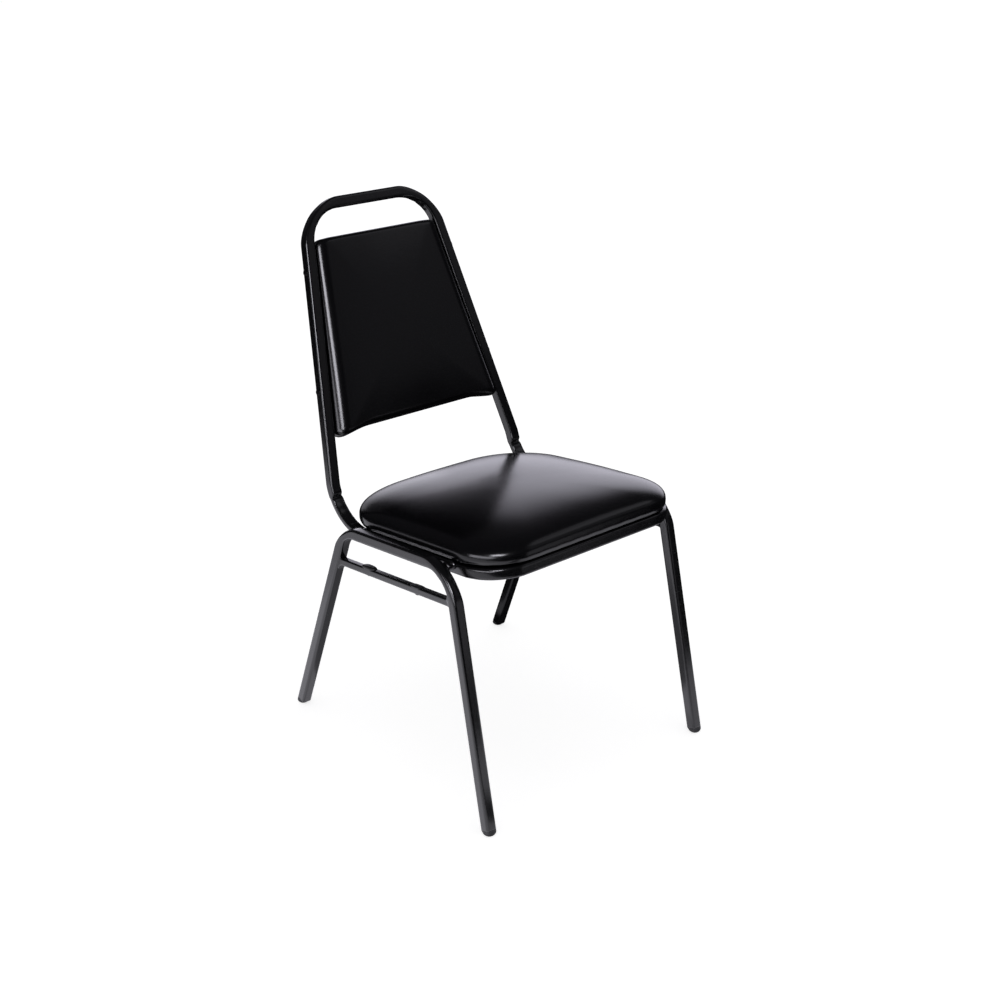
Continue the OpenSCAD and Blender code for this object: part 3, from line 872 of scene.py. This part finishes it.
def pad_plan(inset):
    """The pad's outline, drawn in by an inset; its edges pull in and leave soft ears."""
    low, high = PAD_LOW + 0.6 * inset, PAD_HIGH - 0.3 * inset
    lx, hx = pad_half(low) - inset, pad_half(high) - inset
    r = max(PAD_CORNER - inset, 0.004)
    corners = [Vector((-lx, low)), Vector((lx, low)), Vector((hx, high)), Vector((-hx, high))]
    points = rounded_outline(corners, [r] * 4, 240)
    out = []
    for p in points:
        t = (p.y - low) / (high - low)
        wide = lerp(lx, hx, t)
        u = min(1.0, abs(p.x) / wide)
        q = p.copy()
        q.y += PAD_PULL * (1 - smooth((u - 0.62) / 0.38)) * (1 - smooth(t / 0.3))
        q.y += 0.0016 * (1 - smooth((u - 0.75) / 0.25)) * smooth((t - 0.7) / 0.3)
        q.x *= 1 - 0.12 * PAD_PULL / wide * math.sin(math.pi * min(1, max(0, t)))
        out.append(q)
    return out


def back_pad():
    """The padded back: crowned vinyl over foam, wrapped round the edges of its board."""
    levels = [
        (0.0010, 0.0300),
        (-PAD_REAR + 0.0010, 0.0240),
        (-PAD_REAR + 0.0002, 0.0225),
        (-PAD_REAR, 0.0070),
        (-PAD_REAR + 0.0005, 0.0040),
        (-PAD_REAR + 0.0020, 0.0018),
        (-PAD_REAR + 0.0050, 0.0006),
        (0.000, 0.0),
        (0.006, 0.0),
    ]
    for k in range(1, 13):
        turn = math.pi / 2 * k / 12
        levels.append((0.0065 + 0.0180 * math.sin(turn), PAD_ROLL * (1 - math.cos(turn))))
    rings = [[(p, z) for p in pad_plan(inset)] for z, inset in levels]
    edge = pad_plan(PAD_ROLL)
    middle = Vector((0, (PAD_LOW + PAD_HIGH) / 2))
    steps = 22
    for j in range(1, steps - 1):
        share = 1 - (j / (steps - 1)) ** 1.25
        height = lerp(0.0245, PAD_FRONT, 1 - share**2.4)
        half_x, half_y = pad_half(middle.y) - PAD_ROLL, (PAD_HIGH - PAD_LOW) / 2
        rings.append([(p, height) for p in toward_ellipse(edge, middle, half_x, half_y, share)])
    verts, faces = [], []
    n = len(edge)
    for ring in rings:
        for p, z in ring:
            swell = 0.0008 * noise.noise(Vector((p.x * 8 + 5, p.y * 8, z * 15)))
            z *= 1 - PAD_TAPER * (p.y - PAD_LOW) / (PAD_HIGH - PAD_LOW) if z > 0 else 1
            verts.append(on_back(p.x, p.y, z + swell * smooth((z - 0.004) / 0.01)))
    verts.append(on_back(middle.x, middle.y, PAD_FRONT * (1 - PAD_TAPER / 2)))
    verts.append(on_back(middle.x, middle.y, 0.0010))
    m = len(rings)
    for j in range(m - 1):
        for i in range(n):
            k = (i + 1) % n
            faces.append((j * n + i, j * n + k, (j + 1) * n + k, (j + 1) * n + i))
    for i in range(n):
        k = (i + 1) % n
        faces.append(((m - 1) * n + i, (m - 1) * n + k, m * n))
        faces.append((i, k, m * n + 1))
    return make("back_pad", verts, faces, VINYL_BACK_SHADED)


pad = settle(back_pad(), "vinyl", "back_cover", "back_foam")

# ---------------------------------------------------------------- CAD parts that stay


def keep(node, material, bevel=0.0006, segments=3):
    """Gives a CAD node its material and softens its edges."""
    obj = bpy.data.objects[node]
    obj.data.materials.clear()
    obj.data.materials.append(material)
    if bevel:
        weld = obj.modifiers.new("weld", "WELD")
        weld.merge_threshold = 0.00002
        soft = obj.modifiers.new("bevel", "BEVEL")
        soft.width = bevel
        soft.segments = segments
        soft.limit_method = "ANGLE"
        soft.angle_limit = math.radians(35)
        soft.harden_normals = True
    return obj


keep("seat_brace_front", PAINT, 0.0003)
keep("seat_brace_rear", PAINT, 0.0003)
keep("seat_board", PLY, 0.0005)
keep("back_board", PLY, 0.0005)
keep("seat_screws", ZINC, 0.0005)
keep("seat_washers", ZINC, 0.0003)
keep("seat_tee_nuts", ZINC, 0)
keep("seat_staples", ZINC, 0.0002, 2)
keep("back_screws", SCREW, 0.0005)
keep("back_inserts", ZINC, 0)
keep("back_rear_cover", VINYL_BACK_SHADED, 0.0004)

SHEET_Z = 0.0006  # the sheet's level over the cushion's foot
SHEET_INSET = 0.0440


def dust_sheet():
    """Thin cloth stapled under the seat: it sags a little between its staples."""
    outline = seat_plan(SHEET_INSET)
    middle = Vector((0, (SEAT_FRONT + SEAT_REAR) / 2))
    n, steps = len(outline), 30
    verts, faces = [], []
    for back in (0.0, 0.0005):
        for j in range(steps):
            share = 1 - j / steps
            for i, p in enumerate(outline):
                q = middle + (p - middle) * share
                pleat = 0.0003 * math.sin(i * 2 * math.pi * 22 / n) * smooth((share - 0.7) / 0.3) ** 2
                sag = 0.0003 + 0.0002 * noise.noise(Vector((q.x * 14, q.y * 14, 3)))
                sag *= smooth((1 - share) / 0.15)
                ragged = 0.0006 * noise.noise(Vector((i * 0.7, 0, 0))) if j == 0 else 0.0
                q = q + (p - middle).normalized() * ragged
                verts.append(on_seat(q.x, q.y, CUSHION_Z + SHEET_Z - sag - abs(pleat) + back))
        verts.append(on_seat(middle.x, middle.y, CUSHION_Z + SHEET_Z - 0.0003 + back))
    layer = n * steps + 1
    for off in (0, layer):
        for j in range(steps - 1):
            for i in range(n):
                k = (i + 1) % n
                a = off + j * n
                faces.append((a + i, a + k, a + n + k, a + n + i))
        for i in range(n):
            faces.append((off + (steps - 1) * n + i, off + (steps - 1) * n + (i + 1) % n, off + n * steps))
    for i in range(n):
        faces.append((i, (i + 1) % n, layer + (i + 1) % n, layer + i))
    return make("dust_sheet", verts, faces, CLOTH)


def sheet_area():
    points = seat_plan(SHEET_INSET)
    return 0.5 * abs(sum(p.cross(q) for p, q in zip(points, points[1:] + points[:1])))


sheet = settle(dust_sheet(), "dust_cloth", "seat_dust_cover")
sheet_area()

# ---------------------------------------------------------------- floor, light and camera


def studio():
    size = 14.0
    floor = make(
        "floor",
        [(-size, -size, 0), (size, -size, 0), (size, size, 0), (-size, size, 0)],
        [(0, 1, 2, 3)],
        floor_material(),
    )
    floor.visible_glossy = False


def floor_material():
    n = Nodes("pale_floor")
    cloud = n.noise(3.0, 3.0)
    colour = n.mix(cloud, (0.50, 0.50, 0.50), (0.53, 0.53, 0.53))
    n.set(Roughness=0.8, Specular_IOR_Level=0.0, Emission_Strength=0.80)
    n.bsdf.inputs["Emission Color"].default_value = (1, 1, 1, 1)
    return n.finish(colour)


def panel(name, place, aim, width, height, power):
    """A soft box: a rectangular light at a place, aimed at a point, seen only in reflections."""
    light = bpy.data.lights.new(name, "AREA")
    light.shape = "RECTANGLE"
    light.size, light.size_y = width, height
    light.energy = power
    light.color = (0.93, 0.92, 1.0)
    obj = bpy.data.objects.new(name, light)
    obj.location = place
    obj.rotation_euler = (Vector(aim) - Vector(place)).to_track_quat("-Z", "Y").to_euler()
    obj.visible_camera = False
    obj.visible_diffuse = False
    bpy.context.scene.collection.objects.link(obj)


def world():
    """A bright wall behind the chair to the right, dim elsewhere; the camera sees plain white."""
    w = bpy.data.worlds.new("studio")
    bpy.context.scene.world = w
    w.use_nodes = True
    t = w.node_tree
    t.nodes.clear()
    out = t.nodes.new("ShaderNodeOutputWorld")
    coord = t.nodes.new("ShaderNodeTexCoord")
    split = t.nodes.new("ShaderNodeSeparateXYZ")
    t.links.new(coord.outputs["Generated"], split.inputs[0])

    def step(source, low, high, at_low, at_high):
        node = t.nodes.new("ShaderNodeMapRange")
        node.interpolation_type = "SMOOTHSTEP"
        values = (low, high, at_low, at_high)
        for key, value in zip(("From Min", "From Max", "To Min", "To Max"), values):
            node.inputs[key].default_value = value
        t.links.new(source, node.inputs["Value"])
        return node.outputs[0]

    def times(a, b, operation="MULTIPLY"):
        node = t.nodes.new("ShaderNodeMath")
        node.operation = operation
        for socket, value in zip(node.inputs, (a, b)):
            if isinstance(value, float):
                socket.default_value = value
            else:
                t.links.new(value, socket)
        return node.outputs[0]

    toward = times(times(split.outputs["X"], 0.80), times(split.outputs["Y"], 0.60), "ADD")
    wall = step(toward, 0.82, 0.985, 0.0, 1.7)
    above_floor = step(split.outputs["Z"], -0.15, 0.0, 0.0, 1.0)
    below_ceiling = step(split.outputs["Z"], 0.30, 0.66, 1.0, 0.0)
    band = times(wall, times(above_floor, below_ceiling))
    room = step(split.outputs["Z"], -0.3, 0.6, 0.01, 0.05)
    strength = times(band, room, "ADD")
    lit = t.nodes.new("ShaderNodeBackground")
    lit.inputs["Color"].default_value = (0.90, 0.88, 1.0, 1)
    t.links.new(strength, lit.inputs["Strength"])
    plain = t.nodes.new("ShaderNodeBackground")
    plain.inputs["Color"].default_value = (1, 1, 1, 1)
    plain.inputs["Strength"].default_value = 1.0
    path = t.nodes.new("ShaderNodeLightPath")
    mix = t.nodes.new("ShaderNodeMixShader")
    t.links.new(path.outputs["Is Camera Ray"], mix.inputs[0])
    t.links.new(lit.outputs[0], mix.inputs[1])
    t.links.new(plain.outputs[0], mix.inputs[2])
    t.links.new(mix.outputs[0], out.inputs[0])


def sun():
    """Wide soft light from above for the floor and the matt parts."""
    light = bpy.data.lights.new("soft_sky", "SUN")
    light.energy = 1.5
    light.angle = math.radians(110)
    obj = bpy.data.objects.new("soft_sky", light)
    obj.rotation_euler = (math.radians(8), math.radians(-6), 0)
    obj.visible_glossy = False
    bpy.context.scene.collection.objects.link(obj)


studio()
world()
sun()
panel("left_box", (-2.6, -0.9, 0.90), (0, -0.9, 0.80), 2.6, 0.9, 30)
panel("front_left_box", (-2.1, -2.1, 2.30), (0, 0, 0.5), 1.4, 0.9, 52)
panel("front_right_lamp", (1.8, -1.2, 2.5), (0, -0.1, 0.5), 1.2, 1.2, 1.6)
panel("front_right_card", (1.9, -2.0, 2.1), (0, 0, 0.9), 2.0, 1.7, 1.2)
panel("front_card_low", (0.85, -1.95, 0.35), (-0.2, -0.3, 0.3), 0.8, 0.8, 0.8)
panel("floor_left_rear", (-1.4, 0.50, 0.004), (-1.4, 0.50, 1.0), 2.4, 3.0, 20)
panel("floor_left_near", (-0.53, 0.08, 0.006), (-0.53, 0.08, 1.0), 0.55, 1.05, 0.7)
panel("floor_middle", (0.0, -0.05, 0.004), (0.0, -0.05, 1.0), 0.4, 0.7, 0.3)
panel("floor_front", (0.3, -0.58, 0.004), (0.3, -0.58, 1.0), 0.8, 0.75, 1.7)
panel("rear_fill", (0.9, 2.6, 0.5), (0, 0, 0.6), 1.4, 0.8, 1.5)

scene = bpy.context.scene
scene.view_settings.view_transform = "Standard"
scene.view_settings.look = "None"


def camera():
    data = bpy.data.cameras.new("camera")
    data.sensor_width = 36.0
    data.lens = 54.84
    data.clip_end = 60
    obj = bpy.data.objects.new("camera", data)
    azimuth, elevation = math.radians(40.355), math.radians(23.275)
    obj.location = (-1.5947, -1.9327, 1.5066)
    look = Vector(
        (
            math.sin(azimuth) * math.cos(elevation),
            math.cos(azimuth) * math.cos(elevation),
            -math.sin(elevation),
        )
    )
    obj.rotation_euler = look.to_track_quat("-Z", "Y").to_euler()
    scene.collection.objects.link(obj)
    scene.camera = obj


camera()
